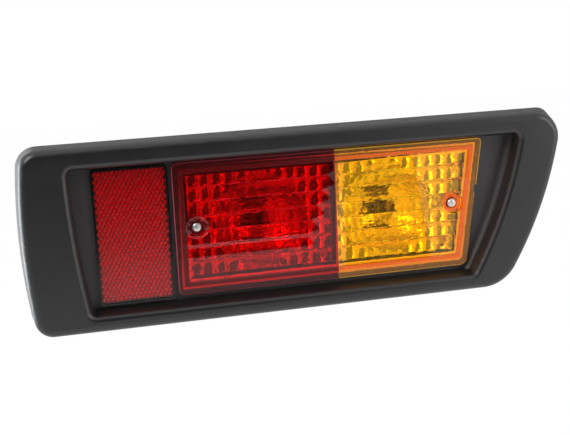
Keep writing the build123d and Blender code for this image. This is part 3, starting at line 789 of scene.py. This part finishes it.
def prism_tree():
    """Six-sided prisms in staggered rows, stood upright about a centre."""
    nodes, given = new_tree("prism_rows", ("Width", "Height", "Pitch", "Rise"), ("Centre",))
    row_pitch = nodes.math("MULTIPLY", given["Pitch"], math.sin(math.radians(60)))
    rows = steps_along(nodes, given["Height"], row_pitch)
    grid = nodes.run("GeometryNodeMeshGrid", {
        "Size X": given["Width"], "Size Y": given["Height"],
        "Vertices X": steps_along(nodes, given["Width"], given["Pitch"]), "Vertices Y": rows,
    })
    flat = nodes.parts(nodes.run("GeometryNodeInputPosition"))
    up = nodes.math("ADD", nodes.math("DIVIDE", flat["Y"], given["Height"]), 0.5)
    row = nodes.math("ROUND", nodes.math("MULTIPLY", up, nodes.math("SUBTRACT", rows, 1.0)))
    side = nodes.math("SUBTRACT", nodes.math("FLOORED_MODULO", row, 2.0), 0.5)
    half_pitch = nodes.math("MULTIPLY", given["Pitch"], 0.5)
    stagger = nodes.vector(X=nodes.math("MULTIPLY", side, half_pitch))
    staggered = nodes.run("GeometryNodeSetPosition", {"Geometry": grid, "Offset": stagger})
    prism = nodes.run("GeometryNodeMeshCone", {
        "Vertices": PRISM_SIDES, "Radius Bottom": half_pitch,
        "Radius Top": nodes.math("MULTIPLY", given["Pitch"], PRISM_TOP), "Depth": given["Rise"],
    })
    seats = nodes.run("GeometryNodeInstanceOnPoints", {
        "Points": staggered, "Instance": prism, "Rotation": (0, 0, PRISM_TURN), "Scale": PRISM_STRETCH,
    })
    stood = nodes.run("GeometryNodeTransform", {
        "Geometry": seats, "Translation": given["Centre"], "Rotation": (math.pi / 2, 0, 0),
    })
    return close_tree(nodes, given, stood)


def slab(name, low, high, ease):
    """Flat plate with rounded corners and an eased front."""
    mesh = bpy.data.meshes.new(name)
    shape = bmesh.new()
    bmesh.ops.create_cube(shape, size=1)
    stretch = Matrix.Translation((high + low) / 2) @ Matrix.Diagonal((*(high - low), 1))
    bmesh.ops.transform(shape, verts=shape.verts, matrix=stretch)
    corners = [edge for edge in shape.edges if abs(edge.verts[0].co.y - edge.verts[1].co.y) > TINY]
    bmesh.ops.bevel(shape, geom=corners, offset=ease * 3, segments=4, affect="EDGES", profile=0.5)
    front = [edge for edge in shape.edges if all(abs(vertex.co.y - low.y) < TINY for vertex in edge.verts)]
    bmesh.ops.bevel(shape, geom=front, offset=ease, segments=3, affect="EDGES", profile=0.5)
    shape.to_mesh(mesh)
    shape.free()
    return link(bpy.data.objects.new(name, mesh))


class LAMP_OT_side_reflector(bpy.types.Operator):
    """Make the side reflector's clear window and its prisms"""

    bl_idname = "lamp.side_reflector"
    bl_label = "Side reflector"

    def execute(self, context):
        values = context.scene.lamp_reflex
        low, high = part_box("reflex_lens")
        window_high = Vector((high.x, low.y + values.window, high.z))
        window = slab("reflex_window_piece", low, window_high, WINDOW_EASE)
        soften(window.data, degrees=40)
        even_normals(window)
        set_finish(window, FINISHES["reflex_window"])
        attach(window, ROOT)
        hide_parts("reflex_lens")
        margin = values.pitch * PRISM_MARGIN
        prisms = tree_piece("reflex_prisms_piece", prism_tree(), {
            "Width": high.x - low.x - 2 * margin, "Height": high.z - low.z - 2 * margin,
            "Pitch": values.pitch, "Rise": values.height,
            "Centre": ((low.x + high.x) / 2, high.y, (low.z + high.z) / 2),
            "Material": FINISHES["prisms"],
        })
        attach(prisms, ROOT)
        set_finish(frame["nodes"]["reflex_backing"], FINISHES["backing"])
        return {"FINISHED"}


# ---------------------------------------------------------------- bulbs, holders and the rest
PLAIN_PARTS = {
    "housing": "housing",
    "rear_cover": "housing",
    "panel_seal": "foam",
    "lens_gasket": "pale_seal",
    "lens_screw_seals": "seal",
    "rear_cover_seal": "seal",
    "cable_grommet": "seal",
    "housing_screws": "zinc",
    "rear_cover_screws": "zinc",
    "reflector_screws": "zinc",
    "mounting_studs": "zinc",
    "reflex_push_nuts": "spring",
    "earth_link": "brass",
    "lens_screws": "bright_zinc",
}
HALF_PARTS = {
    "bulb_glass": "glass",
    "bulb_cap": "nickel",
    "bulb_base": "glaze",
    "bulb_contacts": "solder",
    "bulb_filaments": "wire",
    "holder_sleeve": "nickel",
    "contact_plate": "laminate",
    "contact_leaves": "brass",
}


def body_named(node):
    """The body that a frame part belongs to."""
    bodies = frame["record"]["behaviour"]["bodies"]
    return next(body for body, members in bodies.items() if node in members)


def brighten_land(housing):
    """Gives the housing's front edge, which shows through the lens around the reflectors, the glowing amber mirror
    on the amber side and the lower half only: painted light.
    """
    housing.data.materials.append(FINISHES["amber_mirror"])
    front = min(vertex.co.y for vertex in housing.data.vertices)
    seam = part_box("amber_lens")[0].x
    for face in housing.data.polygons:
        # painted light: only the amber side and the lower half get the bright, glowing coat
        bright = face.center.x > seam or face.center.z < 0
        if bright and face.center.y < front + 0.1 * MM and face.normal.y < -0.9:
            face.material_index = 1


class LAMP_OT_fittings(bpy.types.Operator):
    """Finish the housing, the bulbs, their holders and the fasteners"""

    bl_idname = "lamp.fittings"
    bl_label = "Fittings"

    def execute(self, context):
        parts = dict(PLAIN_PARTS)
        for half in HALVES:
            parts.update({f"{half}_{part}": finish for part, finish in HALF_PARTS.items()})
        for node, finish in parts.items():
            piece = softened_copy(node, FINISHES[finish], body_named(node), degrees=32)
            if node == "housing":
                brighten_land(piece)
        return {"FINISHED"}


# ---------------------------------------------------------------- stage
# soft lamps; each one's power is a share of the key's
SoftLamp = namedtuple("SoftLamp", "name place aim size share colour")
SOFT_LAMPS = (
    SoftLamp(
        "key_lamp", place=(-0.9, -0.7, 0.9), aim=(0, 0, 0), size=(0.7, 0.7),
        share=1.0, colour=(1, 1, 1),
    ),
    SoftLamp(
        "side_lamp", place=(1.0, -0.9, 0.3), aim=(0, 0, 0), size=(0.6, 0.9),
        share=0.6, colour=(1, 1, 1),
    ),
    SoftLamp(
        "rim_lamp", place=(-1.02, 0.42, -0.05), aim=(-0.2, 0, 0), size=(0.8, 0.8),
        share=1.4, colour=(0.88, 0.94, 1.0),
    ),
)

# cards that show in the lamp's surfaces: how far back they stand, the kinds of ray that miss them, and
# their outlines in x and z
Card = namedtuple("Card", "name grey back unseen_by outline")
CARDS = (
    Card("dark_left_card", 0.03, FRONT_CARDS, ("transmission",), (
        (-3.0, -0.233), (0.232, -0.233), (0.277, -0.125), (0.277, 1.2), (-3.0, 1.2),
    )),
    Card("dark_right_card", 0.2, FRONT_CARDS, ("transmission",), (
        (0.292, -0.3), (0.44, -0.3), (0.41, -0.11), (0.41, 1.2), (0.292, 1.2),
    )),
    Card("dark_far_card", 0.2, FRONT_CARDS, ("transmission",), (
        (0.5, -0.3), (0.53, -0.3), (0.53, -0.16), (0.8, -0.16), (0.8, 1.2), (0.5, 1.2),
    )),
    Card("dark_near_card", 0.01, FRONT_CARDS, ("glossy", "diffuse"), (
        (-0.16, -0.24), (0.06, -0.24), (0.06, 0.3), (-0.16, 0.3),
    )),
    Card("dark_upper_card", 0.05, FRONT_CARDS, ("glossy", "diffuse"), (
        (0.06, -0.14), (0.25, -0.14), (0.25, 0.0), (0.34, 0.0), (0.34, 0.6), (0.06, 0.6),
    )),
    Card("grey_back_card", 0.35, BACK_CARD, ("transmission", "diffuse"), (
        (-0.3, 0.0), (2.0, 0.0), (2.0, 1.1), (-0.3, 1.1),
    )),
)


def add_soft_lamp(lamp, key_power):
    """Rectangular soft lamp aimed at a point."""
    light = bpy.data.lights.new(lamp.name, "AREA")
    light.shape = "RECTANGLE"
    light.size, light.size_y = lamp.size
    light.energy = key_power * lamp.share
    light.color = lamp.colour
    stand = link(bpy.data.objects.new(lamp.name, light))
    stand.location = lamp.place
    stand.rotation_euler = (Vector(lamp.aim) - Vector(lamp.place)).to_track_quat("-Z", "Y").to_euler()


def make_world(ambient):
    """Even light, and plain white behind the lamp."""
    world = bpy.data.worlds.new("studio")
    bpy.context.scene.world = world
    world.use_nodes = True
    world.node_tree.nodes.clear()
    nodes = Nodes(world.node_tree)
    strength = spread(nodes, seen_directly(nodes), ambient, 1.0)
    light = nodes.run("ShaderNodeBackground", {"Color": (1, 1, 1), "Strength": strength})
    nodes.join(light, nodes.add("ShaderNodeOutputWorld").inputs[0])


def floor_finish():
    """Pale floor that shows plain white to the eye and keeps a faint shadow."""
    material, nodes, shader = material_base("pale_floor")
    nodes.feed(shader, {"Base Color": (0.86, 0.86, 0.86), "Roughness": 0.8})
    share = nodes.math("MULTIPLY", seen_directly(nodes), FLOOR_WHITE_SHARE)
    white = nodes.run("ShaderNodeEmission", {"Strength": FLOOR_WHITE})
    mix = nodes.run("ShaderNodeMixShader", {0: share, 1: shader.outputs[0], 2: white})
    out = next(node for node in material.node_tree.nodes if node.type == "OUTPUT_MATERIAL")
    nodes.join(mix, out.inputs["Surface"])
    return material


def flat_panel(name, corners, material):
    """Flat sheet of the stage through the given corners."""
    mesh = bpy.data.meshes.new(name)
    mesh.from_pydata([Vector(corner) for corner in corners], [], [tuple(range(len(corners)))])
    panel = link(bpy.data.objects.new(name, mesh))
    set_finish(panel, material)
    return panel


def add_card(card):
    """Card that stays out of the picture and casts no shadow, but shows in the lamp's surfaces."""
    material, nodes, shader = material_base(card.name)
    nodes.feed(shader, {"Base Color": (card.grey, card.grey, card.grey), "Roughness": 1.0})
    panel = flat_panel(card.name, [(x, card.back, z) for x, z in card.outline], material)
    panel.visible_camera = False
    panel.visible_shadow = False
    for kind in card.unseen_by:
        setattr(panel, f"visible_{kind}", False)


def add_camera(focal_length):
    """The camera, from its place and the ways that it looks and stands."""
    camera = link(bpy.data.objects.new("camera", bpy.data.cameras.new("camera")))
    camera.data.sensor_fit = "HORIZONTAL"
    camera.data.sensor_width = SENSOR_WIDTH
    camera.data.lens = focal_length
    forward, upward = Vector(CAMERA_FORWARD), Vector(CAMERA_UPWARD)
    turned = Matrix((forward.cross(upward), upward, -forward)).transposed()
    camera.matrix_world = Matrix.Translation(CAMERA_PLACE) @ turned.to_4x4()
    return camera


class LAMP_OT_stage(bpy.types.Operator):
    """Make the floor, the soft lamps and the camera"""

    bl_idname = "lamp.stage"
    bl_label = "Stage"

    def execute(self, context):
        values = context.scene.lamp_stage
        context.scene.view_settings.view_transform = "Standard"
        make_world(values.ambient)
        level = cad_low.z - values.floor_drop
        corners = ((-1, -1), (1, -1), (1, 1), (-1, 1))
        flat_panel("floor", [(x * FLOOR_REACH, y * FLOOR_REACH, level) for x, y in corners], floor_finish())
        for card in CARDS:
            add_card(card)
        for lamp in SOFT_LAMPS:
            add_soft_lamp(lamp, values.key_power)
        context.scene.camera = add_camera(values.focal_length)
        return {"FINISHED"}


class LAMP_PT_panel(bpy.types.Panel):
    """Sizes, colours and steps of the tail light"""

    bl_idname = "LAMP_PT_panel"
    bl_label = "Tail light"
    bl_space_type = "VIEW_3D"
    bl_region_type = "UI"
    bl_category = "Tail light"

    def draw(self, context):
        for name in GROUPS:
            group = getattr(context.scene, name)
            box = self.layout.box()
            for key in group.bl_rna.properties.keys():
                if key not in ("rna_type", "name"):
                    box.prop(group, key)
        for step in STEPS:
            self.layout.operator(step.bl_idname)


STEPS = (
    LAMP_OT_finishes, LAMP_OT_surround, LAMP_OT_lenses, LAMP_OT_reflectors,
    LAMP_OT_side_reflector, LAMP_OT_fittings, LAMP_OT_stage,
)
GROUPS = {
    "lamp_finish": LampFinishSettings,
    "lamp_reflectors": ReflectorSettings,
    "lamp_reflex": ReflexSettings,
    "lamp_stage": StageSettings,
}


def register():
    """Makes the settings, the steps and the panel known."""
    for group in GROUPS.values():
        bpy.utils.register_class(group)
    for name, group in GROUPS.items():
        setattr(bpy.types.Scene, name, bpy.props.PointerProperty(type=group))
    for step in STEPS:
        bpy.utils.register_class(step)
    bpy.utils.register_class(LAMP_PT_panel)


def unregister():
    """Takes away what register made known."""
    bpy.utils.unregister_class(LAMP_PT_panel)
    for step in reversed(STEPS):
        bpy.utils.unregister_class(step)
    for name, group in GROUPS.items():
        delattr(bpy.types.Scene, name)
        bpy.utils.unregister_class(group)


def main():
    """Runs every step in order."""
    register()
    for step in STEPS:
        family, action = step.bl_idname.split(".")
        getattr(getattr(bpy.ops, family), action)()


if __name__ == "__main__":
    main()
